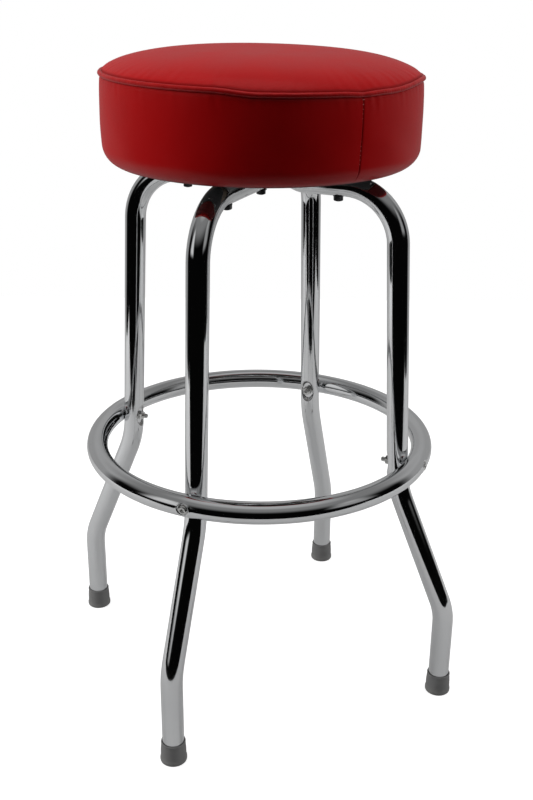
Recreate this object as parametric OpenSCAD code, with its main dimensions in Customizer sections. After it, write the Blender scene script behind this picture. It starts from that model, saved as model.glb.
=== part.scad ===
// Round bar stool with a foot ring. Two bent tubes cross under a swivelling upholstered seat.
// Millimetres, +Z up. The origin is on the floor, on the seat's turning axis.
// The four legs stand on the diagonals: front is -X -Y, right is +X -Y, rear is +X +Y, left is -X +Y.

/* [Leg frames] */
// Outside diameter of the leg tube
leg_tube_d = 25.4; // [24:0.1:27]
// Wall of the leg tube and of the foot ring tube
tube_wall = 1.5; // [1.2:0.1:1.8]
// Height of the tube's centre line where the two frames cross
run_z = 635; // [625:1:645]
// Distance from the stool's axis to a leg, at the height of the top run
shoulder_r = 163.2; // [158:0.1:168]
// Distance from the stool's axis to a leg at the knee bend
knee_r = 181.4; // [178:0.1:185]
// Height of the knee bend
knee_z = 279.3; // [274:0.1:284]
// Distance from the stool's axis to a foot
foot_r = 250.3; // [242:0.1:258]
// Height of the ankle bend
ankle_z = 117.3; // [110:0.1:125]
// Radius of the top bend, on the tube's centre line
shoulder_bend = 64; // [55:1:70]
// Radius of the knee bend
knee_bend = 124; // [90:1:130]
// Radius of the ankle bend
ankle_bend = 80; // [60:1:90]

/* [Foot ring] */
// Height of the foot ring's centre line
ring_z = 309.9; // [304:0.1:312]
// Radius of the foot ring's centre line
ring_r = 201.9; // [201:0.1:203]
// Outside diameter of the ring tube
ring_tube_d = 25.4; // [24:0.1:26]

/* [Feet] */
// Width of a rubber tip at the floor
tip_base_d = 31.4; // [31:0.1:34]
// Width of a rubber tip at its upper lip
tip_top_d = 28.8; // [28.6:0.1:30]
// Height of a rubber tip
tip_h = 27; // [22:1:34]

/* [Seat] */
// Widest radius of the seat's side band
band_r = 178.2; // [175:0.1:180]
// Height of the piping's centre
piping_z = 750; // [745:1:755]
// Diameter of the piping
piping_d = 5.4; // [5:0.1:6]
// Height of the crown above the top seam
crown_h = 25.5; // [18:0.5:32]
// Thickness of the vinyl
vinyl_t = 1.2; // [1:0.1:1.4]
// Thickness of the plywood seat board
board_t = 12; // [10:0.5:15]

/* [Swivel] */
// Side of the swivel's base plate
base_plate_w = 168; // [164:1:172]
// Side of the swivel's top plate
top_plate_w = 150; // [146:1:156]
// Thickness of the swivel plates
plate_t = 2; // [1.8:0.1:2.1]
// Diameter of a bearing ball
ball_d = 5.5; // [5.3:0.1:5.6]
// Number of bearing balls
ball_count = 24; // [16:1:28]
// Distance from the axis to each frame bolt
frame_bolt_r = 94; // [92:0.5:96]
// Distance from the axis to each seat screw
seat_screw_r = 76; // [74:0.5:78]
// Diameter of the kingpin
kingpin_d = 6.4; // [6:0.1:7]

/* [Hidden] */
$fn = 64;
eps = 0.01;

front = 225;
right = 315;
rear = 45;
left = 135;
DIAGONALS = [front, right, rear, left];

leg_r = leg_tube_d / 2;
ring_tube_r = ring_tube_d / 2;
tube_end_z = 5;                      // the tube stops above the floor of its tip
join_gap = 0.5;
collar_length = 2;                   // reach of each collar beside a join
collar_rise = 0.05;

// Pressed shapes in the tubes
crossing_flat = 16;                  // half length of the flat where the frames cross
crossing_ramp = 50;                  // distance from the axis where each ramp starts
nut_dent_w = 16;                     // width of the dent behind each ring nut
nut_dent_h = 26;                     // height of that dent
nut_dent_depth = 4.5;
head_dent_r = 7;                     // round dent in the ring for each bolt head
head_dent_depth = 2.6;
frame_dent_r = 6.6;                  // round flat under the top run for each frame nut
frame_dent_depth = 0.8;

// M6 fasteners
bolt_r = 3;
bolt_hole_r = 3.2;
washer_r = 6;
washer_t = 1;
nut_flats = 10;
nut_h = 5;
ring_bolt_tail = 7;                  // bolt end that stands proud of the leg
frame_bolt_tail = 0.6;
head_r = 5.6;
head_h = 3;

// Swivel stack, from the frame up to the board
base_z = run_z + leg_r;
swivel_h = 8;
top_plate_z = base_z + swivel_h - plate_t;
board_z = base_z + swivel_h;
ball_z = base_z + swivel_h / 2;
race_r = 52;
race_clearance = 0.03;
cage_t = 1;
lip_h = 3;                           // turned-down rim of the base plate
plate_corner_r = 12;
bushing_wall = 1.5;
bushing_flange_r = 9;
bushing_flange_t = 1;
pin_clearance = 0.05;
kingpin_head_h = 4.5;
kingpin_nut_h = 5;
kingpin_nut_flats = 10;
kingpin_washer_r = 6.5;
kingpin_tail = 0.6;
board_centre_hole_r = 16;
screw_r = 2.2;
screw_head_r = 4;
screw_head_h = 1.6;
screw_l = 12;

// Seat profile
seat_bottom_z = board_z;
edge_round = 20;                     // rounding of the band's lower edge
band_bulge = 1;
band_mid_z = 708;
band_top_z = piping_z;
band_low_z = seat_bottom_z + edge_round;
edge_centre_r = band_side_r(band_low_z, 0) - edge_round;
hem_r = 148;                         // the band is folded under the board to here
crown_r = 176;
crown_power = 3.2;
crown_root = 0.642;
crown_z = piping_z + 1.8;
piping_r = piping_d / 2;
piping_ring_r = band_side_r(piping_z, 0) + piping_r - 2.6;
board_r = edge_centre_r;
cover_t = 0.4;
cover_r = 140;
cover_hole_r = 108;
staple_count = 24;
staple_w = 10;
staple_t = 0.9;
SIDE_STEPS = 8;
EDGE_STEPS = 8;
CROWN_STEPS = 22;

// ---- Bent tubes, drawn in the XZ plane ----

function unit2(v) = v / norm(v);
function turn_angle(a, b, c) = acos(min(1, unit2(b - a) * unit2(c - b)));
function turn_sign(a, b, c) = sign((b - a)[0] * (c - b)[1] - (b - a)[1] * (c - b)[0]);
function bend_in(a, b, c, r) = b - unit2(b - a) * r * tan(turn_angle(a, b, c) / 2);
function bend_out(a, b, c, r) = b + unit2(c - b) * r * tan(turn_angle(a, b, c) / 2);
function bend_centre(a, b, c, r) =
    b + unit2(unit2(c - b) - unit2(b - a)) * r / cos(turn_angle(a, b, c) / 2);

// Turns a bar along Z to run from one point towards another
module aim(from, to) {
    lean = atan2(to[0] - from[0], to[1] - from[1]);
    translate([from[0], 0, from[1]])
        rotate([0, lean, 0])
            children();
}

// The tube between two bends, short of both by a small gap that a collar covers
module straight(from, to, gap_from, gap_to, r) {
    along = unit2(to - from);
    start = from + gap_from * along;
    aim(start, to)
        cylinder(h = norm(to - from) - gap_from - gap_to, r = r);
}

// Part of the bend at b: the stretch from "skip" to "skip + length" along its arc
module arc_bar(a, b, c, bend_r, skip, length, r) {
    per_mm = 180 / PI / bend_r;
    centre = bend_centre(a, b, c, bend_r);
    start = bend_in(a, b, c, bend_r) - centre;
    clockwise = turn_sign(a, b, c) < 0;
    first = atan2(start[1], start[0])
        + (clockwise ? -skip - length : skip) * per_mm;
    translate([centre[0], 0, centre[1]])
        rotate([90, 0, 0])
            rotate([0, 0, first])
                rotate_extrude(angle = length * per_mm)
                    translate([bend_r, 0])
                        circle(r = r);
}

// Faint collar on the straight side of a join, reaching just past it
module collar(at, towards, r) {
    aim(at, towards)
        translate([0, 0, -collar_length])
            cylinder(h = collar_length + join_gap, r = r + collar_rise);
}

// A bend with its collars: each join is covered by one on the straight and one on the arc
module bend(a, b, c, bend_r, r) {
    arc = turn_angle(a, b, c) * PI / 180 * bend_r;
    arc_bar(a, b, c, bend_r, 2 * join_gap, arc - 4 * join_gap, r);
    arc_bar(a, b, c, bend_r, 0, collar_length, r + 2 * collar_rise);
    arc_bar(a, b, c, bend_r, arc - collar_length, collar_length, r + 2 * collar_rise);
    collar(bend_in(a, b, c, bend_r), b, r);
    collar(bend_out(a, b, c, bend_r), b, r);
}

// A round bar along the points, with a bend of radii[i] at each inner point
module bent_bar(points, radii, r) {
    last = len(points) - 1;
    for (i = [1 : last - 1])
        bend(points[i - 1], points[i], points[i + 1], radii[i], r);
    for (i = [0 : last - 1]) {
        from = i == 0
            ? points[0]
            : bend_out(points[i - 1], points[i], points[i + 1], radii[i]);
        to = i == last - 1
            ? points[last]
            : bend_in(points[i], points[i + 1], points[i + 2], radii[i + 1]);
        straight(from, to, i == 0 ? 0 : join_gap, i == last - 1 ? 0 : join_gap, r);
    }
}

function leg_side(side, end_z) = [
    [side * foot_r, end_z],
    [side * foot_r, ankle_z],
    [side * knee_r, knee_z],
    [side * shoulder_r, run_z]
];
function frame_points(end_z) = concat(
    leg_side(-1, end_z),
    [for (i = [3 : -1 : 0]) leg_side(1, end_z)[i]]
);
frame_radii = [0, ankle_bend, knee_bend, shoulder_bend, shoulder_bend, knee_bend, ankle_bend, 0];

// Radius of the leg's centre line at the foot ring's height
leg_at_ring = knee_r - (knee_r - shoulder_r) * (ring_z - knee_z) / (run_z - knee_z);
leg_inner_at_ring = leg_at_ring - leg_r;

// Wedge that presses one side of the top run flat at the crossing.
// up = 1 keeps the upper half of the tube, up = -1 keeps the lower half.
module crossing_press(up, depth) {
    far = leg_tube_d;
    rotate([90, 0, 0])
        linear_extrude(height = 2 * leg_tube_d, center = true)
            polygon([
                [-crossing_ramp, run_z - up * (leg_r - depth)],
                [-crossing_flat, run_z + up * depth],
                [crossing_flat, run_z + up * depth],
                [crossing_ramp, run_z - up * (leg_r - depth)],
                [crossing_ramp, run_z - up * far],
                [-crossing_ramp, run_z - up * far]
            ]);
}

// Upright slot-shaped press on the inner side of one leg, behind the ring nut
module nut_dent(grow) {
    half_straight = (nut_dent_h - nut_dent_w) / 2;
    tip = leg_inner_at_ring + nut_dent_depth + grow;
    length = 20;
    translate([tip - length, 0, ring_z])
        rotate([0, 90, 0]) {
            for (s = [-1, 1])
                translate([s * half_straight, 0, 0])
                    cylinder(h = length, r = nut_dent_w / 2 + grow);
            translate([-half_straight, -nut_dent_w / 2 - grow, 0])
                cube([2 * half_straight, nut_dent_w + 2 * grow, length]);
        }
}

module ring_bar(r) {
    translate([0, 0, ring_z])
        rotate_extrude($fn = 128)
            translate([ring_r, 0])
                circle(r = r);
}

module radial_hole(r) {
    translate([leg_inner_at_ring - 10, 0, ring_z])
        rotate([0, 90, 0])
            cylinder(h = 80, r = r);
}

module run_nut_dent(grow) {
    top = run_z - leg_r + frame_dent_depth + grow;
    translate([frame_bolt_r, 0, top - 10])
        cylinder(h = 10, r = frame_dent_r + grow);
}

// One U-shaped tube: two legs and the run between them, along X
module leg_frame(up) {
    difference() {
        bent_bar(frame_points(tube_end_z), frame_radii, leg_r);
        difference() {
            bent_bar(frame_points(tube_end_z - 1), frame_radii, leg_r - tube_wall);
            crossing_press(up, tube_wall);
            ring_bar(ring_tube_r + tube_wall);
            for (side = [0, 180])
                rotate([0, 0, side]) {
                    nut_dent(tube_wall);
                    run_nut_dent(tube_wall);
                }
        }
        crossing_press(up, 0);
        ring_bar(ring_tube_r);
        for (side = [0, 180])
            rotate([0, 0, side]) {
                nut_dent(0);
                run_nut_dent(0);
                radial_hole(bolt_hole_r);
                translate([frame_bolt_r, 0, run_z - 2 * leg_r])
                    cylinder(h = 4 * leg_r, r = bolt_hole_r);
            }
        translate([0, 0, run_z - 2 * leg_r])
            cylinder(h = 4 * leg_r, r = kingpin_d / 2 + 0.2);
    }
}

module leg_frame_front_rear() {
    color([0.78, 0.79, 0.8])
        rotate([0, 0, rear])
            leg_frame(-1);
}

module leg_frame_left_right() {
    color([0.72, 0.73, 0.74])
        rotate([0, 0, left])
            leg_frame(1);
}

// ---- Foot ring ----

module head_dent(grow) {
    bottom = ring_r + ring_tube_r - head_dent_depth - grow;
    translate([bottom, 0, ring_z])
        rotate([0, 90, 0])
            cylinder(h = 10, r = head_dent_r + grow);
}

module foot_ring() {
    color([0.8, 0.81, 0.82])
        difference() {
            ring_bar(ring_tube_r);
            difference() {
                ring_bar(ring_tube_r - tube_wall);
                for (a = DIAGONALS)
                    rotate([0, 0, a])
                        head_dent(tube_wall);
            }
            for (a = DIAGONALS)
                rotate([0, 0, a]) {
                    head_dent(0);
                    radial_hole(bolt_hole_r);
                }
        }
}

// ---- Rubber tips ----

module foot_tip(angle) {
    lip = 1.5;
    color([0.3, 0.3, 0.3])
        rotate([0, 0, angle])
            translate([foot_r, 0, 0])
                difference() {
                    rotate_extrude()
                        polygon([
                            [0, 0],
                            [tip_base_d / 2 - 1, 0],
                            [tip_base_d / 2, 1],
                            [tip_base_d / 2, 4],
                            [tip_base_d / 2 - 0.5, 5],
                            [tip_top_d / 2, tip_h - lip],
                            [tip_top_d / 2 - 0.6, tip_h],
                            [0, tip_h]
                        ]);
                    translate([0, 0, tube_end_z - washer_t])
                        cylinder(h = tip_h, r = leg_r);
                }
}

module foot_tip_front() { foot_tip(front); }
module foot_tip_right() { foot_tip(right); }
module foot_tip_rear() { foot_tip(rear); }
module foot_tip_left() { foot_tip(left); }

// Steel discs that keep the tube ends from cutting through the rubber
module foot_tip_washers() {
    color([0.6, 0.6, 0.6])
        for (a = DIAGONALS)
            rotate([0, 0, a])
                translate([foot_r, 0, tube_end_z - washer_t])
                    difference() {
                        cylinder(h = washer_t, r = leg_r - 0.2);
                        translate([0, 0, -eps])
                            cylinder(h = washer_t + 2 * eps, r = 4);
                    }
}

// ---- Fasteners ----

// Hexagonal nut standing on the XY plane
module nut(flats, h, hole_r) {
    difference() {
        intersection() {
            cylinder(h = h, r = flats / 2 / cos(30), $fn = 6);
            union() {
                cylinder(h = h - 0.8, r = flats);
                translate([0, 0, h - 0.8])
                    cylinder(h = 0.8, r1 = flats * 0.58, r2 = flats * 0.48);
            }
        }
        translate([0, 0, -eps])
            cylinder(h = h + 2 * eps, r = hole_r);
    }
}

module washer(outer_r, t, hole_r) {
    difference() {
        cylinder(h = t, r = outer_r);
        translate([0, 0, -eps])
            cylinder(h = t + 2 * eps, r = hole_r);
    }
}

// Low dome, flat side on the XY plane
module dome(r, h) {
    ball = (r * r + h * h) / (2 * h);
    intersection() {
        translate([0, 0, h - ball])
            sphere(r = ball);
        cylinder(h = h, r = r);
    }
}

ring_seat_x = ring_r + ring_tube_r - head_dent_depth;
ring_nut_x = leg_inner_at_ring + nut_dent_depth;
ring_bolt_end_x = leg_inner_at_ring - ring_bolt_tail;

// Button-head bolts that go in through the ring and out through the legs
module ring_bolts() {
    color([0.7, 0.7, 0.72])
        for (a = DIAGONALS)
            rotate([0, 0, a])
                translate([ring_seat_x, 0, ring_z])
                    rotate([0, 90, 0]) {
                        dome(head_r, head_h);
                        translate([0, 0, ring_bolt_end_x - ring_seat_x])
                            cylinder(h = ring_seat_x - ring_bolt_end_x, r = bolt_r);
                    }
}

module ring_washers() {
    color([0.75, 0.75, 0.75])
        for (a = DIAGONALS)
            rotate([0, 0, a])
                translate([ring_nut_x, 0, ring_z])
                    rotate([0, -90, 0])
                        washer(washer_r, washer_t, bolt_r);
}

module ring_nuts() {
    color([0.68, 0.68, 0.7])
        for (a = DIAGONALS)
            rotate([0, 0, a])
                translate([ring_nut_x - washer_t, 0, ring_z])
                    rotate([0, -90, 0])
                        nut(nut_flats, nut_h, bolt_r);
}

frame_nut_z = run_z - leg_r + frame_dent_depth - washer_t;
frame_bolt_end_z = frame_nut_z - nut_h - frame_bolt_tail;

module at_frame_bolts() {
    for (a = DIAGONALS)
        rotate([0, 0, a])
            translate([frame_bolt_r, 0, 0])
                children();
}

module frame_bolts() {
    top = base_z + plate_t;
    color([0.4, 0.4, 0.4])
        at_frame_bolts() {
            translate([0, 0, top])
                dome(head_r, 2.4);
            translate([0, 0, frame_bolt_end_z])
                cylinder(h = top - frame_bolt_end_z, r = bolt_r);
        }
}

module frame_washers() {
    color([0.6, 0.6, 0.6])
        at_frame_bolts()
            translate([0, 0, frame_nut_z])
                washer(washer_r, washer_t, bolt_r);
}

module frame_nuts() {
    color([0.35, 0.35, 0.35])
        at_frame_bolts()
            translate([0, 0, frame_nut_z])
                rotate([180, 0, 0])
                    nut(nut_flats, nut_h, bolt_r);
}

// ---- Swivel ----

// Square with round corners, standing on the XY plane
module rounded_plate(w, h, corner_r) {
    inner = w / 2 - corner_r;
    linear_extrude(height = h)
        union() {
            square([w, 2 * inner], center = true);
            square([2 * inner, w], center = true);
            for (x = [-inner, inner], y = [-inner, inner])
                translate([x, y])
                    circle(r = corner_r);
        }
}

module race_groove() {
    translate([0, 0, ball_z])
        rotate_extrude()
            translate([race_r, 0])
                circle(r = ball_d / 2 + race_clearance);
}

// Pressed plate bolted on the crossing tubes, with a turned-down rim between the corners
module swivel_base_plate() {
    w = base_plate_w;
    relief_w = 2 * leg_tube_d;
    color([0.12, 0.12, 0.12])
        difference() {
            translate([0, 0, base_z - lip_h])
                rounded_plate(w, lip_h + plate_t, plate_corner_r);
            translate([0, 0, base_z - lip_h - 1])
                rounded_plate(w - 2 * plate_t, lip_h + 1, plate_corner_r - plate_t);
            for (a = [rear, left])
                rotate([0, 0, a])
                    translate([-w, -relief_w / 2, base_z - lip_h - 1])
                        cube([2 * w, relief_w, lip_h + 1]);
            race_groove();
            at_frame_bolts()
                translate([0, 0, base_z - 1])
                    cylinder(h = plate_t + 2, r = bolt_r);
            translate([0, 0, base_z - 1])
                cylinder(h = plate_t + 2, r = kingpin_d / 2);
        }
}

module bearing_balls() {
    color([0.85, 0.85, 0.86])
        for (i = [0 : ball_count - 1])
            rotate([0, 0, i * 360 / ball_count])
                translate([race_r, 0, ball_z])
                    sphere(r = ball_d / 2);
}

module ball_cage() {
    color([0.75, 0.6, 0.3])
        difference() {
            translate([0, 0, ball_z - cage_t / 2])
                washer(race_r + 5, cage_t, race_r - 5);
            for (i = [0 : ball_count - 1])
                rotate([0, 0, i * 360 / ball_count])
                    translate([race_r, 0, ball_z])
                        sphere(r = ball_d / 2);
        }
}

bushing_hole_r = kingpin_d / 2 + pin_clearance;
bushing_r = bushing_hole_r + bushing_wall;

module at_seat_screws() {
    for (a = DIAGONALS)
        rotate([0, 0, a])
            translate([seat_screw_r, 0, 0])
                children();
}

module swivel_top_plate() {
    color([0.16, 0.16, 0.16])
        difference() {
            translate([0, 0, top_plate_z])
                rounded_plate(top_plate_w, plate_t, plate_corner_r);
            race_groove();
            at_seat_screws()
                translate([0, 0, top_plate_z - 1])
                    cylinder(h = plate_t + 2, r = screw_r);
            translate([0, 0, top_plate_z - 1])
                cylinder(h = plate_t + 2, r = bushing_r);
        }
}

// Flanged bush in the top plate, which turns on the kingpin
module pivot_bushing() {
    color([0.9, 0.88, 0.8])
        difference() {
            union() {
                translate([0, 0, top_plate_z])
                    cylinder(h = plate_t, r = bushing_r);
                translate([0, 0, top_plate_z + plate_t])
                    cylinder(h = bushing_flange_t, r = bushing_flange_r);
            }
            translate([0, 0, top_plate_z - 1])
                cylinder(h = plate_t + bushing_flange_t + 2, r = bushing_hole_r);
        }
}

kingpin_head_z = top_plate_z + plate_t + bushing_flange_t + pin_clearance;
kingpin_nut_z = run_z - leg_r - washer_t;

// Pivot bolt through the bush, the base plate and both tubes
module kingpin() {
    low = kingpin_nut_z - kingpin_nut_h - kingpin_tail;
    color([0.5, 0.5, 0.5]) {
        translate([0, 0, low])
            cylinder(h = kingpin_head_z - low, r = kingpin_d / 2);
        translate([0, 0, kingpin_head_z])
            cylinder(h = kingpin_head_h, r = kingpin_nut_flats / 2 / cos(30), $fn = 6);
    }
}

module kingpin_washer() {
    color([0.6, 0.6, 0.6])
        translate([0, 0, kingpin_nut_z])
            washer(kingpin_washer_r, washer_t, kingpin_d / 2);
}

module kingpin_nut() {
    color([0.35, 0.35, 0.35])
        translate([0, 0, kingpin_nut_z])
            rotate([180, 0, 0])
                nut(kingpin_nut_flats, kingpin_nut_h, kingpin_d / 2);
}

// ---- Seat ----

// Outside radius of the side band at height z, inset by t
function band_side_r(z, t) = band_r - t - band_bulge * pow((z - band_mid_z) / 40, 2);

// Band profile from the piping down, round the lower edge and in to the hem, inset by t
function band_profile(t) = concat(
    [for (i = [0 : SIDE_STEPS])
        let (z = band_top_z + (band_low_z - band_top_z) * i / SIDE_STEPS)
        [band_side_r(z, t), z]],
    [for (i = [1 : EDGE_STEPS])
        let (a = 90 * i / EDGE_STEPS)
        [edge_centre_r + (edge_round - t) * cos(a), band_low_z - (edge_round - t) * sin(a)]]
);

// Crown height at radius r, as a fraction of the crown
function crown_rise(r) = pow(max(0, 1 - pow(r / crown_r, crown_power)), crown_root);

// Crown profile from the middle out to the seam, inset by t
function crown_profile(t) = [
    for (i = [0 : CROWN_STEPS])
        let (r = crown_r * sin(90 * i / CROWN_STEPS))
        [r * (crown_r - t) / crown_r, crown_z - t + crown_h * crown_rise(r)]
];

module piping_bar(r) {
    translate([0, 0, piping_z])
        rotate_extrude($fn = 128)
            translate([piping_ring_r, 0])
                circle(r = r);
}

seam_z = crown_z - vinyl_t;          // the top panel's edge rests on the band's edge

module seat_board() {
    color([0.78, 0.62, 0.42])
        difference() {
            translate([0, 0, board_z + vinyl_t])
                cylinder(h = board_t, r = board_r, $fn = 128);
            translate([0, 0, board_z])
                cylinder(h = board_t + 2 * vinyl_t, r = board_centre_hole_r);
            at_seat_screws()
                translate([0, 0, board_z])
                    cylinder(h = screw_l, r = screw_r);
        }
}

// Foam block over and around the board
module seat_foam() {
    color([0.93, 0.88, 0.7])
        difference() {
            rotate_extrude($fn = 128)
                polygon(concat(
                    [[0, seat_bottom_z + vinyl_t]],
                    [for (p = crown_profile(vinyl_t)) p],
                    [[band_side_r(band_top_z, vinyl_t), seam_z]],
                    band_profile(vinyl_t)
                ));
            translate([0, 0, board_z])
                cylinder(h = board_t + vinyl_t, r = board_r, $fn = 128);
            piping_bar(piping_r);
        }
}

module seat_top_panel() {
    count = CROWN_STEPS;
    color([0.62, 0.07, 0.06])
        difference() {
            rotate_extrude($fn = 128)
                polygon(concat(
                    [for (p = crown_profile(0)) p],
                    [for (i = [count : -1 : 0]) crown_profile(vinyl_t)[i]]
                ));
            piping_bar(piping_r);
        }
}

module seat_side_band() {
    last = SIDE_STEPS + EDGE_STEPS;
    color([0.5, 0.03, 0.03])
        difference() {
            rotate_extrude($fn = 128)
                polygon(concat(
                    band_profile(0),
                    [[hem_r, seat_bottom_z]],
                    [[hem_r, seat_bottom_z + vinyl_t]],
                    [for (i = [last : -1 : 0]) band_profile(vinyl_t)[i]]
                ));
            piping_bar(piping_r);
        }
}

module seat_piping() {
    color([0.5, 0.03, 0.03])
        piping_bar(piping_r);
}

// Black cloth ring stapled under the board, around the swivel plate
module dust_cover() {
    color([0.08, 0.08, 0.08])
        translate([0, 0, board_z + vinyl_t - cover_t])
            difference() {
                cylinder(h = cover_t, r = cover_r, $fn = 128);
                translate([0, 0, -eps])
                    cylinder(h = cover_t + 2 * eps, r = cover_hole_r, $fn = 128);
            }
}

module cover_staples() {
    color([0.7, 0.7, 0.7])
        for (i = [0 : staple_count - 1])
            rotate([0, 0, i * 360 / staple_count])
                translate([cover_r - 4, 0, board_z + vinyl_t - cover_t - staple_t / 2])
                    cube([staple_t, staple_w, staple_t], center = true);
}

// Pan-head screws up through the top plate into the board
module seat_screws() {
    color([0.55, 0.55, 0.55])
        at_seat_screws() {
            translate([0, 0, top_plate_z - screw_head_h])
                cylinder(h = screw_head_h, r = screw_head_r);
            translate([0, 0, top_plate_z - eps])
                cylinder(h = screw_l - screw_head_h, r = screw_r);
        }
}

leg_frame_front_rear();
leg_frame_left_right();
foot_ring();
foot_tip_front();
foot_tip_right();
foot_tip_rear();
foot_tip_left();
foot_tip_washers();
ring_bolts();
ring_washers();
ring_nuts();
frame_bolts();
frame_washers();
frame_nuts();
swivel_base_plate();
bearing_balls();
ball_cage();
swivel_top_plate();
pivot_bushing();
kingpin();
kingpin_washer();
kingpin_nut();
seat_screws();
seat_board();
seat_foam();
seat_top_panel();
seat_side_band();
seat_piping();
dust_cover();
cover_staples();
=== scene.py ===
import math

import bpy
import numpy as np
from mathutils import Matrix, Vector


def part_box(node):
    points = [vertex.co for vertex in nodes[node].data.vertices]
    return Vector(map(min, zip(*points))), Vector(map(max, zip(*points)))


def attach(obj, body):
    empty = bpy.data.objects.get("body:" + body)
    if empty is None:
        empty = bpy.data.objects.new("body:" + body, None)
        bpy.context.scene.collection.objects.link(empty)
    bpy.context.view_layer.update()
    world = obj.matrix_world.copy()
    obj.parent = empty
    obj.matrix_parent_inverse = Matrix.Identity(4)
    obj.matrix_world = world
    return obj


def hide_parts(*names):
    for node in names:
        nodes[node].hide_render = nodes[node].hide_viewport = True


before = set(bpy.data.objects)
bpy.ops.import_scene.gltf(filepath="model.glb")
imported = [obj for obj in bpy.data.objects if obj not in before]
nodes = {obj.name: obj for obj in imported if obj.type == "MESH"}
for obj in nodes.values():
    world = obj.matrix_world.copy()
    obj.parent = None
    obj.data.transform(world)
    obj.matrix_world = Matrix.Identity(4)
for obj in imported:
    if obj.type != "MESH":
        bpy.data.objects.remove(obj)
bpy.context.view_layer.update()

# Measures in metres, worked out from the frame where it holds them

mm = 0.001
pi = math.pi
legAngles = {"front": 225, "right": 315, "rear": 45, "left": 135}  # degrees round the axis

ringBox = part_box("foot_ring")
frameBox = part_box("leg_frame_left_right")
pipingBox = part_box("seat_piping")
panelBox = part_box("seat_top_panel")
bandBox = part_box("seat_side_band")
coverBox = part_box("dust_cover")

tube = {"r": 12.7 * mm, "foot": 5 * mm}                 # radius, height of the cut end
ring = {
    "r": (ringBox[1].z - ringBox[0].z) / 2,             # radius of the ring's own tube
    "z": (ringBox[1].z + ringBox[0].z) / 2,
}
ring["centre"] = ringBox[1].x - ring["r"]
piping = {
    "r": (pipingBox[1].z - pipingBox[0].z) / 2,
    "z": (pipingBox[1].z + pipingBox[0].z) / 2,
}
piping["centre"] = pipingBox[1].x - piping["r"]
seat = {
    "bottom": bandBox[0].z,
    "band": bandBox[1].x,                               # widest radius of the side band
    "widest": 708 * mm,                                 # height of that radius
    "edge": 20 * mm,                                    # rounding of the lower edge
    "crown": panelBox[1].z,
    "panel": 175.4 * mm,                                # radius where the panel turns down
    "coverHole": 108 * mm,
    "lean": 0.6,                                        # degrees, down to the right
    "vinyl": 1.2 * mm,                                  # thickness
}
view = {
    "place": Vector((-0.465006, -1.150641, 0.870690)),
    "ahead": Vector((0.35227, 0.85493, -0.38078)).normalized(),
    "roll": math.radians(0.52),
    "lens": 48.63,
}
towards = Vector((-view["ahead"].x, -view["ahead"].y, 0)).normalized()
sideways = Vector((-towards.y, towards.x, 0))           # to the camera's right


def footRadius(name):
    low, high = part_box("foot_tip_" + name)
    return math.hypot((low.x + high.x) / 2, (low.y + high.y) / 2)


# Shader helpers

def mathMethod(operation, reflected=False):
    def method(self, other=0.0):
        pair = (other, self) if reflected else (self, other)
        return self.make("ShaderNodeMath", {"operation": operation}, dict(enumerate(pair)))
    return method


class Wire:
    # One socket of a shader tree: arithmetic on it adds nodes to the tree
    def __init__(self, tree, socket):
        self.tree = tree
        self.socket = socket

    __add__ = __radd__ = mathMethod("ADD")
    __mul__ = __rmul__ = mathMethod("MULTIPLY")
    __sub__ = mathMethod("SUBTRACT")
    __rsub__ = mathMethod("SUBTRACT", True)
    sine = mathMethod("SINE")

    def make(self, kind, settings=None, inputs=None, output=0):
        made = self.tree.nodes.new(kind)
        for key, value in (settings or {}).items():
            setattr(made, key, value)
        for key, value in (inputs or {}).items():
            plug(self.tree, made.inputs[key], value)
        return Wire(self.tree, made.outputs[output])

    def mix(self, low, high):
        picked = {0: self, 6: low, 7: high}
        return self.make("ShaderNodeMix", {"data_type": "RGBA"}, picked, 2)

    def noise(self, scale, detail=2.0):
        picked = {"Vector": self, "Scale": scale, "Detail": detail}
        return self.make("ShaderNodeTexNoise", inputs=picked)

    def cells(self, scale, output="Distance", feature="F1"):
        picked = {"Vector": self, "Scale": scale}
        return self.make("ShaderNodeTexVoronoi", {"feature": feature}, picked, output)

    def step(self, low, high):
        picked = {"Value": self, "From Min": low, "From Max": high}
        return self.make("ShaderNodeMapRange", {"interpolation_type": "SMOOTHSTEP"}, picked)

    def stretched(self, scale):
        return self.make("ShaderNodeMapping", inputs={"Vector": self, "Scale": scale})

    def axis(self, name):
        return self.make("ShaderNodeSeparateXYZ", inputs={"Vector": self}, output=name)

    def dot(self, direction):
        picked = {0: self, 1: direction}
        settings = {"operation": "DOT_PRODUCT"}
        return self.make("ShaderNodeVectorMath", settings, picked, "Value")

    def bump(self, strength, distance):
        picked = {"Height": self, "Strength": strength, "Distance": distance}
        return self.make("ShaderNodeBump", inputs=picked)

    def attribute(self, name):
        return self.make("ShaderNodeAttribute", {"attribute_name": name}, output="Fac")


def plug(tree, socket, value):
    if isinstance(value, Wire):
        tree.links.new(value.socket, socket)
    else:
        socket.default_value = value


def colour(red, green, blue):
    return (red, green, blue, 1.0)


def material(name, recipe):
    made = bpy.data.materials.new(name)
    made.use_nodes = True
    tree = made.node_tree
    shader = tree.nodes["Principled BSDF"]
    place = Wire(tree, tree.nodes.new("ShaderNodeTexCoord").outputs["Object"])
    for key, value in recipe(place).items():
        plug(tree, shader.inputs[key], value)
    return made


# Materials: chrome, zinc, steel, rubber, paint, brass, nylon, wood, foam, vinyl, cloth

chrome = {
    "bright": colour(0.83, 0.84, 0.85),
    "dull": colour(0.70, 0.70, 0.71),
    "rust": colour(0.105, 0.075, 0.050),
    "smudge": 9.0,                                      # smudges about 0.1 m wide
    "fleck": 420.0,                                     # fine marks about 2 mm apart
}


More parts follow.
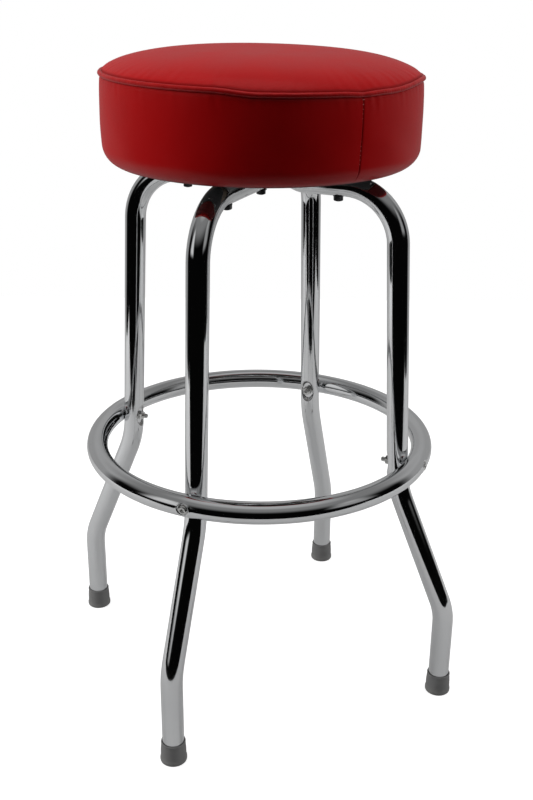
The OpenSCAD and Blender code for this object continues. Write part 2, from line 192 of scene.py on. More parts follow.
def chromeRecipe(place):
    smudge = place.noise(chrome["smudge"], 4.0).step(0.42, 0.72)
    fleck = place.noise(chrome["fleck"], 3.0)
    wearAndShade = place.attribute("wearAndShade") * fleck.step(0.35, 0.62)
    tone = (smudge * 0.35).mix(chrome["bright"], chrome["dull"])
    return {
        "Base Color": wearAndShade.mix(tone, chrome["rust"]),
        "Metallic": 1.0 - wearAndShade * 0.6,
        "Roughness": 0.045 + smudge * 0.05 + fleck * 0.02 + wearAndShade * 0.35,
        "Normal": place.noise(55.0).bump(0.05, 0.0006),
    }


def zincRecipe(place):
    grain = place.noise(900.0, 4.0)
    spangle = place.cells(260.0)
    return {
        "Base Color": grain.mix(colour(0.66, 0.66, 0.65), colour(0.93, 0.93, 0.91)),
        "Metallic": 1.0,
        "Roughness": 0.16 + grain * 0.14 + spangle * 0.06,
        "Normal": grain.bump(0.12, 0.0002),
    }


def darkSteelRecipe(place):
    grain = place.noise(700.0, 4.0)
    rust = place.noise(120.0, 5.0).step(0.60, 0.75)
    tone = grain.mix(colour(0.05, 0.05, 0.055), colour(0.16, 0.16, 0.165))
    return {
        "Base Color": (rust * 0.5).mix(tone, colour(0.16, 0.09, 0.05)),
        "Metallic": 0.9 - rust * 0.5,
        "Roughness": 0.32 + grain * 0.2 + rust * 0.2,
        "Normal": grain.bump(0.15, 0.0002),
    }


def rubberRecipe(place):
    dust = place.noise(60.0, 5.0)
    low = place.axis("Z").step(0.012, 0.0)              # scuffed and dusty near the floor
    tone = dust.mix(colour(0.175, 0.175, 0.177), colour(0.240, 0.239, 0.236))
    pores = place.noise(1500.0, 2.0)
    return {
        "Base Color": (low * dust * 0.7).mix(tone, colour(0.30, 0.295, 0.28)),
        "Roughness": 0.62 + dust * 0.2,
        "Normal": (pores + dust).bump(0.25, 0.0003),
    }


def blackPaintRecipe(place):
    orange = place.noise(650.0, 2.0)
    chips = place.noise(230.0, 6.0).step(0.70, 0.74)
    tone = place.noise(30.0).mix(colour(0.012, 0.012, 0.013), colour(0.030, 0.030, 0.031))
    return {
        "Base Color": chips.mix(tone, colour(0.22, 0.20, 0.18)),
        "Roughness": 0.30 + orange * 0.18,
        "Metallic": chips * 0.7,
        "Normal": orange.bump(0.2, 0.0002),
    }


def bearingRecipe(place):
    haze = place.noise(500.0, 3.0)
    return {
        "Base Color": haze.mix(colour(0.62, 0.60, 0.55), colour(0.86, 0.86, 0.87)),
        "Metallic": 1.0,
        "Roughness": 0.10 + haze * 0.12,
    }


def brassRecipe(place):
    haze = place.noise(180.0, 4.0)
    return {
        "Base Color": haze.mix(colour(0.42, 0.25, 0.07), colour(0.70, 0.48, 0.18)),
        "Metallic": 1.0,
        "Roughness": 0.28 + haze * 0.2,
        "Normal": haze.bump(0.1, 0.0002),
    }


def nylonRecipe(place):
    cloud = place.noise(220.0, 3.0)
    return {
        "Base Color": cloud.mix(colour(0.66, 0.63, 0.52), colour(0.80, 0.77, 0.67)),
        "Roughness": 0.38 + cloud * 0.2,
        "Normal": cloud.bump(0.1, 0.0002),
    }


def plywoodRecipe(place):
    # Plies show as bands across the height, grain as noise stretched along X
    grain = place.stretched((14.0, 160.0, 160.0)).noise(1.0, 5.0)
    plies = (place.axis("Z") * 2800.0).sine().step(-0.2, 0.2)
    tone = grain.mix(colour(0.075, 0.055, 0.038), colour(0.15, 0.11, 0.075))
    return {
        "Base Color": (plies * 0.25).mix(tone, colour(0.05, 0.035, 0.022)),
        "Roughness": 0.6 + grain * 0.25,
        "Normal": grain.bump(0.3, 0.0004),
    }


def foamRecipe(place):
    pores = place.cells(700.0)
    return {
        "Base Color": pores.mix(colour(0.62, 0.52, 0.30), colour(0.86, 0.78, 0.55)),
        "Roughness": 0.85 + pores * 0.1,
        "Normal": pores.bump(0.6, 0.0006),
    }


vinyl = {
    "deep": colour(0.39, 0.0012, 0.0020),
    "light": colour(0.47, 0.0030, 0.0040),
    "grain": 1150.0,                                    # leather grain cells under 1 mm
}


def vinylRecipe(place):
    # Pebbled grain: rounded cells with soft creases between them, over a slow mottle
    wander = place.noise(260.0, 2.0)
    pebble = place.cells(vinyl["grain"], feature="SMOOTH_F1")
    mottle = place.noise(22.0, 3.0)
    crease = pebble.step(0.25, 0.75)
    # The attribute read here holds painted shade on the seat: it mixes the red towards
    # near-black in the seam groove, under the piping, at the panel's rim and along the underside
    paintedShade = place.attribute("wearAndShade")
    tone = mottle.mix(vinyl["deep"], vinyl["light"])
    return {
        "Base Color": (paintedShade * 0.75).mix(tone, colour(0.045, 0.0006, 0.001)),
        "Roughness": 0.34 + mottle * 0.10 + crease * 0.05 + paintedShade * 0.2,
        "Specular IOR Level": 0.22,
        "Normal": (crease * -0.5 + wander * 0.7).bump(0.16, 0.0004),
    }


def pipingRecipe(place):
    mottle = place.noise(90.0, 3.0)
    crinkle = place.noise(420.0, 2.0)
    return {
        "Base Color": mottle.mix(colour(0.33, 0.0012, 0.002), colour(0.45, 0.003, 0.004)),
        "Roughness": 0.30 + crinkle * 0.15,
        "Specular IOR Level": 0.35,
        "Normal": crinkle.bump(0.35, 0.0006),
    }


def threadRecipe(place):
    twist = place.noise(2600.0, 2.0)
    return {
        "Base Color": twist.mix(colour(0.62, 0.10, 0.10), colour(0.95, 0.38, 0.36)),
        "Roughness": 0.55 + twist * 0.2,
        "Normal": twist.bump(0.4, 0.0002),
    }


def clothRecipe(place):
    # Non-woven cover: short fibres in every direction
    fibre = place.stretched((1.0, 3.5, 1.0)).noise(1300.0, 4.0)
    weave = place.cells(900.0)
    return {
        "Base Color": fibre.mix(colour(0.010, 0.010, 0.011), colour(0.045, 0.045, 0.047)),
        "Roughness": 0.8 + fibre * 0.15,
        "Normal": (fibre + weave).bump(0.4, 0.0003),
    }


finish = {
    name: material(name, recipe)
    for name, recipe in {
        "chromePlate": chromeRecipe,
        "zincPlate": zincRecipe,
        "darkSteel": darkSteelRecipe,
        "greyRubber": rubberRecipe,
        "blackPaint": blackPaintRecipe,
        "bearingSteel": bearingRecipe,
        "cageBrass": brassRecipe,
        "bushNylon": nylonRecipe,
        "boardPlywood": plywoodRecipe,
        "seatFoam": foamRecipe,
        "redVinyl": vinylRecipe,
        "redPiping": pipingRecipe,
        "redThread": threadRecipe,
        "coverCloth": clothRecipe,
    }.items()
}
print("materials made:", len(finish))


# Mesh helpers

def smoothStep(low, high, value):
    t = np.clip((value - low) / (high - low), 0, 1)
    return t * t * (3 - 2 * t)


def turned(points, degrees):
    c, s = math.cos(math.radians(degrees)), math.sin(math.radians(degrees))
    x, y = points[..., 0], points[..., 1]
    return np.stack([c * x - s * y, s * x + c * y, points[..., 2]], -1)


# A surface over a grid of points: rows, then points round each row
def surface(name, grid, finishName, wrap=(False, True), caps=(None, None), wearAndShade=None):
    rows, sides = grid.shape[:2]
    index = np.arange(rows * sides).reshape(rows, sides)
    if wrap[0]:
        index = np.concatenate([index, index[:1]], 0)
    if wrap[1]:
        index = np.concatenate([index, index[:, :1]], 1)
    a, b = index[:-1, :-1].ravel(), index[1:, :-1].ravel()
    c, d = index[1:, 1:].ravel(), index[:-1, 1:].ravel()
    quads = np.stack([a, b, c, d], 1)
    points = grid.reshape(-1, 3)
    fans = np.zeros((0, 3), int)
    for cap, row, flip in ((caps[0], index[0], False), (caps[1], index[-1], True)):
        if cap is None:
            continue
        middle = np.full(len(row) - 1, len(points))
        points = np.concatenate([points, np.array(cap, float)[None]])
        edge = (row[1:], row[:-1]) if flip else (row[:-1], row[1:])
        fans = np.concatenate([fans, np.stack([middle, *edge], 1)])
    corners = np.concatenate([
        quads[:, [0, 1, 2]], quads[:, [0, 2, 3]], fans
    ])
    p, q, r = (points[corners[:, i]] for i in range(3))
    if wrap[1] and (p * np.cross(q, r)).sum() < 0:      # outward normals
        quads, fans = quads[:, ::-1], fans[:, ::-1]
    mesh = bpy.data.meshes.new(name)
    mesh.vertices.add(len(points))
    mesh.vertices.foreach_set("co", points.astype(np.float32).ravel())
    mesh.loops.add(quads.size + fans.size)
    loops = np.concatenate([quads.ravel(), fans.ravel()]).astype(np.int32)
    mesh.loops.foreach_set("vertex_index", loops)
    starts = np.concatenate([
        np.arange(len(quads)) * 4, quads.size + np.arange(len(fans)) * 3
    ])
    mesh.polygons.add(len(starts))
    mesh.polygons.foreach_set("loop_start", starts.astype(np.int32))
    mesh.update(calc_edges=True)
    mesh.polygons.foreach_set("use_smooth", np.ones(len(starts), bool))
    # This attribute holds real wear on the chrome and painted shade on the vinyl
    if wearAndShade is not None:
        spots = np.zeros(len(points), np.float32)
        spots[:wearAndShade.size] = wearAndShade.ravel()
        mesh.attributes.new("wearAndShade", "FLOAT", "POINT").data.foreach_set("value", spots)
    mesh.materials.append(finish[finishName])
    made = bpy.data.objects.new(name, mesh)
    bpy.context.scene.collection.objects.link(made)
    return made


# A profile of (radius, height) pairs turned round the Z axis
def turnedGrid(profile, angles):
    profile = np.array(profile, float)
    r, z = profile[:, 0][:, None], profile[:, 1][:, None]
    return np.stack([r * np.cos(angles), r * np.sin(angles), z + 0 * angles], -1)


def roundAngles(count):
    return np.arange(count) / count * 2 * pi


# Rounds each inner corner of a line in a plane, and gives points a step apart along it
def filleted(points, radii, step):
    points = np.array(points, float)
    line = [points[0]]
    for before, here, after, radius in zip(points, points[1:], points[2:], radii):
        into, out = here - before, after - here
        into, out = into / np.linalg.norm(into), out / np.linalg.norm(out)
        turn = math.acos(np.clip(into @ out, -1, 1))
        inward = (out - into) / np.linalg.norm(out - into)
        centre = here + inward * radius / math.cos(turn / 2)
        start = here - into * radius * math.tan(turn / 2)
        spoke = start - centre
        for angle in np.linspace(0, turn, 2 + int(radius * turn / step)):
            line.append(centre + spoke * math.cos(angle) + into * radius * math.sin(angle))
    line.append(points[-1])
    line = np.array(line)
    reach = np.concatenate([[0], np.cumsum(np.linalg.norm(np.diff(line, axis=0), axis=1))])
    even = np.linspace(0, reach[-1], int(reach[-1] / step) + 1)
    return np.stack([np.interp(even, reach, line[:, i]) for i in range(2)], 1)


# Takes points from a fine line so that each step is about as long as wanted there
def thinned(line, wanted):
    step = np.linalg.norm(np.diff(line, axis=0), axis=1)
    count = np.concatenate([[0], np.cumsum(step / wanted[1:])])
    picked = np.linspace(0, count[-1], int(count[-1]) + 1)
    return np.stack([np.interp(picked, count, line[:, i]) for i in range(2)], 1)


# A round bar along a line in the XZ plane: rows of points, and each point's outward side
def barGrid(line, radius, sides):
    along = np.gradient(line, axis=0)
    along /= np.linalg.norm(along, axis=1)[:, None]
    normal = np.stack([-along[:, 1], along[:, 0]], 1)
    angle = roundAngles(sides)
    out = np.zeros((len(line), sides, 3))
    out[..., 0] = normal[:, 0][:, None] * np.cos(angle)
    out[..., 1] = np.sin(angle)
    out[..., 2] = normal[:, 1][:, None] * np.cos(angle)
    centre = np.stack([line[:, 0], 0 * line[:, 0], line[:, 1]], 1)[:, None]
    return centre + out * radius, out


# Leg frames: two bent tubes that cross under the seat

legs = {
    "shoulder": 163.2 * mm,
    "knee": (181.4 * mm, 279.3 * mm),
    "ankle": 117.3 * mm,
    "squash": 0.97,                                     # share of the height pressed away
    "spread": 0.10,                                     # how much the pressed run widens
    "soften": 0.8 * mm,                                 # rounding of the saddle's edge
    "bends": [80 * mm, 124 * mm, 64 * mm],
    "sides": 80,
    "flat": 15 * mm,                                    # half length of the pressed flat
    "ramp": 52 * mm,
    "dentWide": 8.6 * mm,                               # half sizes of the dent at each nut
    "dentHigh": 14.2 * mm,
    "dentDeep": 4.5 * mm,
}
runZ = frameBox[1].z - tube["r"]


# Foot, ankle, knee, shoulder, across under the seat and down again, with rounded bends
def legLine(foot):
    side = [
        (foot, tube["foot"]), (foot, legs["ankle"]), legs["knee"], (legs["shoulder"], runZ)
    ]
    points = [(-x, z) for x, z in side] + side[::-1]
    bends = legs["bends"] + legs["bends"][::-1]
    line = filleted(points, bends, 0.4 * mm)
    fine = np.full(len(line), 4.5)
    fine[np.abs(line[:, 1] - ring["z"]) < 22 * mm] = 0.9
    fine[np.abs(line[:, 0]) < legs["ramp"] + 5 * mm] = 2.0
    return thinned(line, fine * mm)


def atRing(z):
    return np.abs(z - ring["z"]) < 20 * mm


# Distance from the axis to the leg's inner side at the ring's height
def legInner(foot):
    kneeR, kneeZ = legs["knee"]
    share = (ring["z"] - kneeZ) / (runZ - kneeZ)
    return kneeR + (legs["shoulder"] - kneeR) * share - tube["r"]


# A round bar along the leg line, then squeezed, saddled and dented where it meets its fellows
def legFrame(name, up, degrees, foot):
    grid, out = barGrid(legLine(foot), tube["r"], legs["sides"])
    x, y, z = (grid[..., i].copy() for i in range(3))
    # Crossing: one side of the run is squeezed flat and the tube spreads a little
    press = 1 - smoothStep(legs["flat"], legs["ramp"], np.abs(x))
    press *= z > runZ - 2 * tube["r"]
    rise = (z - runZ) * up
    keep = 1 - press * legs["squash"]
    z = np.where(rise > 0, runZ + rise * keep * up, z)
    y = y * (1 + legs["spread"] * press)
    # Saddle: the leg's outside gives way to the ring that passes through it
    across = np.abs(x)
    gap = ring["r"] ** 2 - (z - ring["z"]) ** 2
    inside = ring["centre"] - np.sqrt(np.maximum(gap, 0))
    limit = np.sqrt(np.maximum(inside ** 2 - y ** 2, 0))
    soft = legs["soften"]
    over = (across - limit) / soft
    pushed = limit - soft * np.log1p(np.exp(-np.clip(over, -30, 30)))
    across = np.where((gap > 0) & (over > -6), np.minimum(pushed + soft * 0.1, across), across)
    # Dent: an upright oval pressed flat into the inner side, with a softly rolled edge
    inner = across < legs["shoulder"] + (ring["centre"] - legs["shoulder"]) * 0.45
    spread = np.hypot(y / legs["dentWide"], (z - ring["z"]) / legs["dentHigh"])
    floorX = legInner(foot) + legs["dentDeep"]
    mask = (1 - smoothStep(0.80, 1.08, spread)) * inner
    across = across + np.maximum(floorX - across, 0) * mask
    rim = np.exp(-((spread - 0.93) / 0.12) ** 2)
    wearAndShade = rim * inner * (0.55 + 0.45 * (z < ring["z"] + 4 * mm))
    wearAndShade *= 0.9 if name == "legFrameLeftRight" else 0.6
    x = np.where(atRing(z), np.sign(x) * across, x)
    made = turned(np.stack([x, y, z], -1), degrees)
    ends = [made[0].mean(0), made[-1].mean(0)]
    return surface(name, made, "chromePlate", caps=ends, wearAndShade=wearAndShade * atRing(z))


frontRear = legFrame("legFrameFrontRear", 1, legAngles["rear"], footRadius("rear"))
leftRight = legFrame("legFrameLeftRight", -1, legAngles["left"], footRadius("left"))
for piece, node in ((frontRear, "leg_frame_front_rear"), (leftRight, "leg_frame_left_right")):
    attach(piece, "base")
    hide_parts(node)
print("leg frames made")

# Foot ring, dimpled where each bolt head sits

dimple = {
    "r": 7.2 * mm,
    "deep": 2.6 * mm,
    "lip": 0.35 * mm,                                   # raised rim round each dimple
    "rows": 800,
    "sides": 96,
    "crowd": 0.72,                                      # how much rows crowd to the dimples
}


# A torus whose rows crowd to the four dimples; each dimple is a function of the distance to it
def footRing():
    u, v = roundAngles(dimple["rows"]), roundAngles(dimple["sides"])
    theta = u - dimple["crowd"] * np.sin(4 * u) / 4 + pi / 4
    phi = (v - 0.45 * np.sin(v))[None]
    reach = ring["centre"] + ring["r"] * np.cos(phi) + 0 * theta[:, None]
    z = ring["z"] + ring["r"] * np.sin(phi) + 0 * reach
    around = (theta % (pi / 2) - pi / 4)[:, None] * reach
    spread = np.hypot(around, z - ring["z"]) / dimple["r"]
    facing = np.cos(phi) > 0
    outer = ring["centre"] + ring["r"]
    # A conical dish with a flat floor, and a narrow lip pushed up round it
    dish = (1 - smoothStep(0.66, 1.02, spread)) * facing
    lip = np.exp(-((spread - 1.08) / 0.12) ** 2) * facing
    floorR = outer - dimple["deep"]
    reach = reach + np.minimum(floorR - reach, 0) * dish + lip * dimple["lip"]
    squeeze = np.exp(-(around / (10 * mm)) ** 2)
    z = ring["z"] + (z - ring["z"]) * (1 + 0.015 * squeeze)
    theta = theta[:, None]
    grid = np.stack([reach * np.cos(theta), reach * np.sin(theta), z], -1)
    wearAndShade = 0.15 * np.exp(-((spread - 0.8) / 0.15) ** 2) * facing
    return surface("footRing", grid, "chromePlate", wrap=(True, True), wearAndShade=wearAndShade)


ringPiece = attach(footRing(), "base")
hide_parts("foot_ring")
print("foot ring made")

# Rubber tips

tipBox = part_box("foot_tip_front")
tip = {
    "base": (tipBox[1].x - tipBox[0].x) / 2,
    "top": 14.4 * mm,
    "high": tipBox[1].z,
    "bore": 12.75 * mm,
    "sides": 72,
}


# A cup turned round the leg: profile points run from the bore over the lip and down to the tread
def footTip(name):
    base, top, high, bore = (tip[k] for k in ("base", "top", "high", "bore"))
    profile = [
        (bore, 5.2 * mm), (bore, 12 * mm), (bore, high - 0.8 * mm),
        (bore + 0.2 * mm, high - 0.2 * mm), (bore + 0.6 * mm, high),
        (top - 0.7 * mm, high), (top - 0.2 * mm, high - 0.3 * mm),
        (top, high - 0.9 * mm), (top, high - 1.7 * mm),
        (top - 0.35 * mm, high - 2.2 * mm), (top - 0.4 * mm, high - 2.8 * mm),
        (top + 0.05 * mm, high - 6 * mm), (top + 0.5 * mm, high - 12 * mm),
        (base - 0.75 * mm, 7.5 * mm), (base - 0.5 * mm, 5.6 * mm),
        (base - 0.1 * mm, 4.8 * mm), (base, 4 * mm), (base, 2 * mm),
        (base - 0.3 * mm, 0.8 * mm), (base - 1.0 * mm, 0.1 * mm), (base - 1.6 * mm, 0),
        (base - 5 * mm, 0), (base - 5.3 * mm, 0.5 * mm), (base - 7 * mm, 0.5 * mm),
        (base - 7.3 * mm, 0), (5 * mm, 0),
    ]
    grid = turnedGrid(profile, roundAngles(tip["sides"]))
    angle = math.radians(legAngles[name])
    reach = footRadius(name)
    shift = np.array([reach * math.cos(angle), reach * math.sin(angle), 0])
    caps = ((shift[0], shift[1], 5.2 * mm), (shift[0], shift[1], 0))
    made = surface("footTip" + name.title(), grid + shift, "greyRubber", caps=caps)
    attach(made, "base")
    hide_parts("foot_tip_" + name)


for name in legAngles:
    footTip(name)
print("rubber tips made")

# Ring bolts

bolt = {
    "r": 3 * mm,
    "head": 5.5 * mm,
    "headHigh": 3.0 * mm,
    "pitch": 1.0 * mm,
    "thread": 0.30 * mm,
    "threaded": 20 * mm,
    "sides": 36,
}


# A turned profile along the bolt's own axis, its thread cut as a triangle wave round the shank
def ringBolts():
    outer = ring["centre"] + ring["r"] - dimple["deep"]
    end = legInner(footRadius("front")) - 7 * mm - outer
    head, high, r = bolt["head"], bolt["headHigh"], bolt["r"]
    arc = np.linspace(0, pi / 2, 9)
    dome = [(0.62 * head + 0.38 * head * math.cos(a), 0.7 * mm + (high - 0.7 * mm) * math.sin(a))
            for a in arc]
    cup = [(0.40 * head, high - 0.03 * mm), (0.36 * head, high - 0.3 * mm),
           (0.34 * head, high - 1.5 * mm), (0.08 * head, high - 1.7 * mm)]
    steps = np.arange(end, end + bolt["threaded"], bolt["pitch"] / 6)
    shank = [(r, x) for x in steps] + [(r, end + bolt["threaded"] + mm), (r, 0)]
    profile = np.array(cup[::-1] + dome[::-1] + [(head, 0)] + shank[::-1])
    angles = roundAngles(bolt["sides"])
    grid = turnedGrid(profile, angles)                  # axis along Z for now
    along, reach = grid[..., 2], np.hypot(grid[..., 0], grid[..., 1])
    turn = (along / bolt["pitch"] - angles / (2 * pi)) % 1
    cut = bolt["thread"] * np.abs(2 * turn - 1) * (along < end + bolt["threaded"])
    taper = smoothStep(end - 0.1 * mm, end + 1.2 * mm, along)
    shrink = np.where(along < -mm, (reach - cut) * (0.8 + 0.2 * taper) / reach, 1)
    grid[..., :2] *= shrink[..., None]
    straight = np.stack([grid[..., 2] + outer, grid[..., 1], ring["z"] - grid[..., 0]], -1)
    made = []
    for name, degrees in legAngles.items():
        points = turned(straight, degrees)
        caps = (points[0].mean(0), points[-1].mean(0))
        made.append(surface("ringBolt" + name.title(), points, "zincPlate", caps=caps))
    return made


boltPieces = ringBolts()
for piece in boltPieces:
    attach(piece, "base")
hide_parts("ring_bolts")
print("ring bolts made")

# Seat

seam = {
    "degrees": 282.4,                                   # where the band's ends are joined
    "lean": -0.9,                                       # degrees it drifts towards the bottom
    "groove": 0.9 * mm,
    "wide": 1.6 * mm,
    "overlap": 0.5 * mm,                                # one end stands this much proud
}
sag = {
    "starts": (232, 247),                               # degrees over which the drop sets in
    "ends": (316, 294),
    "drop": 3.2 * mm,
    "pinch": 1.3 * mm,                                  # extra drop where the seam ends
    "pinchWide": 5.0,
    "flare": 1.4 * mm,                                  # rise past the end of the drop
    "flareAt": 322,
    "flareWide": 9.0,
    "bandFade": 22 * mm,                                # how far the drop reaches into the band
    "panelFade": 16 * mm,
}
detail = {
    "around": 720,
    "pipingAround": 1080,
    "pucker": 0.35 * mm,
    "swell": 0.5 * mm,
}
sideTop = piping["z"]
edgeLow = seat["bottom"] + seat["edge"]


# The cushion leans a little on its board: heights drop to the right, but not the hem's
def leant(grid):
    lift = smoothStep(seat["bottom"] + mm, seat["bottom"] + 25 * mm, grid[..., 2])
    along = grid[..., 0] * sideways.x + grid[..., 1] * sideways.y
    made = grid.copy()
    made[..., 2] -= math.tan(math.radians(seat["lean"])) * along * lift
    return made


# The side bulges: radius falls off as the square of the distance from its widest height
def sideRadius(z):
    return seat["band"] - mm * ((z - seat["widest"]) / (40 * mm)) ** 2


# Bulged side, quarter-round lower edge, then the hem folded in to the dust cover
def bandProfile(inset=0.0):
    edgeR = sideRadius(edgeLow) - seat["edge"]
    top = sideTop + 0.4 * mm
    z = top - (top - edgeLow) * np.linspace(0, 1, 46) ** 1.3  # rows crowd to the stitches
    side = np.stack([sideRadius(z) - inset, z], 1)
    a = np.linspace(0, pi / 2, 17)[1:]
    bend = seat["edge"] - inset
    edge = np.stack([edgeR + bend * np.cos(a), edgeLow - bend * np.sin(a)], 1)
    hemR = coverBox[1].x + mm
    hem = np.stack([np.linspace(edgeR, hemR, 6)[1:], np.full(5, seat["bottom"] + inset)], 1)
    return np.concatenate([side, edge, hem])


# Angles round the seat, crowded at the seam so that its groove is sharp
def seatAngles(count):
    u = roundAngles(count)
    return u - 0.80 * np.sin(u) + math.radians(seam["degrees"])


# The seam line hangs lower along the front and right: how far, in metres, round the seat
def hang(theta):
    degrees = np.degrees(theta) % 360
    low = smoothStep(*sag["starts"], degrees) * smoothStep(*sag["ends"], degrees)
    pinch = np.exp(-((degrees - seam["degrees"]) / sag["pinchWide"]) ** 2)
    flare = np.exp(-((degrees - sag["flareAt"]) / sag["flareWide"]) ** 2)
    return sag["drop"] * low + sag["pinch"] * pinch - sag["flare"] * flare


# How far a point round the band is from the slightly leaning seam, in metres
def fromSeam(theta, z):
    share = (sideTop - z) / (sideTop - seat["bottom"])
    centre = math.radians(seam["degrees"]) + math.radians(seam["lean"]) * share
    return ((theta - centre + pi) % (2 * pi) - pi) * seat["band"]


# Slow ripple of cloth under tension: a few sine waves of unrelated lengths
def ripple(theta, z, lengths):
    total = 0
    for i, length in enumerate(lengths):
        phase = 1.7 * i + 0.9
        total = total + np.sin(theta * length + phase + 9 * i * (z - sideTop) / seat["band"])
    return total / len(lengths)


# The band's profile turned round, then moved in and out by puckers, tuck and seam
def sideBand():
    theta = seatAngles(detail["around"])
    profile = bandProfile()
    grid = turnedGrid(profile, theta)
    z = grid[..., 2]
    reach = profile[:, 0][:, None] + 0 * theta
    theta = theta[None] + 0 * z
    away = fromSeam(theta, z)
    below = sideTop - z
    # Pull of the piping's stitches, strongest just under it, and stronger by the seam
    tight = np.exp(-below / (9 * mm)) * smoothStep(0, 2.5 * mm, below)
    bySeam = np.exp(-(away / (22 * mm)) ** 2)
    move = detail["pucker"] * tight * ripple(theta, z, (61, 87, 113)) * (1 + 1.6 * bySeam)
    low = smoothStep(20 * mm, 60 * mm, below) * smoothStep(seat["bottom"], edgeLow, z)
    move += detail["swell"] * low * ripple(theta, z, (5, 9, 14))
    move -= 1.1 * mm * np.exp(-below / (8 * mm))
    # Tuck under the piping, where the band is drawn in to the stitch line
    tuck = np.exp(-((below - 3.2 * mm) / (1.6 * mm)) ** 2)
    move -= 0.8 * mm * tuck
    # Seam: a narrow groove with a soft hollow each side, one end lapped over the other
    groove = np.exp(-(away / (seam["wide"] * 0.45)) ** 2)
    hollow = np.exp(-(np.abs(away) / (7 * mm)) ** 2) * 0.35
    lap = smoothStep(-0.4 * mm, 0.4 * mm, away) * np.exp(-(away / (14 * mm)) ** 2)
    onSide = smoothStep(seat["bottom"] - mm, edgeLow, z)
    deepen = 0.75 + 0.25 * smoothStep(30 * mm, 60 * mm, below)
    move += (seam["overlap"] * lap - seam["groove"] * deepen * (groove + hollow)) * onSide
    # Painted shade: darker in the seam groove and in a thin line just under the piping
    paintedShade = 0.9 * groove * onSide + 0.75 * np.exp(-((below - 3.0 * mm) / (0.9 * mm)) ** 2)
    # Painted shade: darker along the underside by the hem
    under = smoothStep(seat["bottom"] + 4 * mm, seat["bottom"] + 0.5 * mm, z)
    paintedShade = np.clip(paintedShade + 1.25 * under, 0, 1.3)
    grid[..., 0] += move * np.cos(theta)
    grid[..., 1] += move * np.sin(theta)
    grid[..., 2] -= hang(theta) * np.exp(-below / sag["bandFade"])
    return surface("seatSideBand", leant(grid), "redVinyl", wearAndShade=paintedShade)


# Crown: flat in the middle, steeper to the rim, as a power of the share of the radius
def crownHeight(r):
    share = np.clip(r / (176 * mm), 0, 1)
    rise = np.maximum(1 - share ** 3.2, 0) ** 0.642
    low = piping["z"] + 1.8 * mm
    return low + (seat["crown"] - low) * rise


# The crown turned round, its rim tucked down beside the piping
def topPanel():
    theta = seatAngles(detail["around"])
    a = np.linspace(0, 1, 64)[1:]
    r = seat["panel"] * np.sin(a * pi / 2) ** 0.9
    profile = np.stack([r, crownHeight(r)], 1)
    down = piping["z"] + np.array([2.2, 1.0, -0.6, -1.6]) * mm
    tuck = np.stack([seat["panel"] + np.array([0.45, 0.7, 0.8, 0.8]) * mm, down], 1)
    profile = np.concatenate([profile, tuck])
    grid = turnedGrid(profile, theta)
    reach = np.minimum(profile[:, 0], seat["panel"])[:, None] + 0 * theta
    rim = seat["panel"] - reach
    turnAngle = theta[None] + 0 * reach
    near = np.exp(-rim / (11 * mm)) * smoothStep(0, 3 * mm, rim)
    bySeam = np.exp(-((fromSeam(turnAngle, sideTop)) / (18 * mm)) ** 2)
    move = detail["pucker"] * near * ripple(turnAngle, sideTop, (53, 71, 97)) * (1 + bySeam)
    slow = smoothStep(0, 50 * mm, rim)
    move += 0.5 * mm * slow * ripple(turnAngle, sideTop, (2, 3)) * (reach / seat["band"])
    grid[..., 2] += np.minimum(move, 0.4 * mm) - 0.35 * mm * bySeam * near
    grid[..., 2] -= hang(turnAngle) * np.exp(-rim / sag["panelFade"])
    # Painted shade: darker where the panel tucks down at its rim
    paintedShade = 0.6 * np.exp(-(rim / (1.2 * mm)) ** 2)
    cap = (0, 0, seat["crown"])
    return surface("seatTopPanel", leant(grid), "redVinyl", caps=(cap, None), wearAndShade=paintedShade)


def skin(piece, thickness):
    solid = piece.modifiers.new("thickness", "SOLIDIFY")
    solid.thickness = thickness
    solid.offset = -1
    return piece


# A torus with a little wander, pinched at the seam and hanging with it
def seatPiping():
    theta = seatAngles(detail["pipingAround"])
    v = roundAngles(20)
    theta, v = theta[:, None], v[None]
    away = fromSeam(theta, sideTop)
    dip = np.exp(-(away / (5 * mm)) ** 2)
    wander = ripple(theta, sideTop, (37, 59, 83)) * 0.16 * mm
    crease = 0.10 * mm * ripple(theta, sideTop, (211, 307))
    r = piping["r"] * (1 - 0.12 * dip) + crease * np.cos(v) ** 2
    reach = piping["centre"] + r * np.cos(v) + wander - 0.5 * mm * dip
    z = piping["z"] + r * np.sin(v) + wander * 0.6 - hang(theta)
    grid = np.stack([reach * np.cos(theta), reach * np.sin(theta), z + 0 * reach], -1)
    return surface("seatPiping", leant(grid), "redPiping", wrap=(True, True))


# The crown and band profiles, set in by the vinyl, as one closed form
def foamCore():
    inset = seat["vinyl"] + 0.8 * mm
    r = 174 * mm * np.sin(np.linspace(0, 1, 40)[1:] * pi / 2)
    crown = np.stack([r, crownHeight(r) - inset], 1)
    side = bandProfile(inset)
    side = side[side[:, 1] < piping["z"] - 3 * mm]
    profile = np.concatenate([crown, side])
    caps = ((0, 0, seat["crown"] - inset), (0, 0, seat["bottom"] + inset))
    theta = roundAngles(160)
    grid = turnedGrid(profile, theta)
    fromRim = np.maximum(seat["panel"] - profile[:, 0], 0)
    fromRim = fromRim + np.maximum(sideTop - profile[:, 1], 0)
    grid[..., 2] -= hang(theta)[None] * np.exp(-fromRim / sag["panelFade"])[:, None]
    return surface("seatFoamCore", leant(grid), "seatFoam", caps=caps)


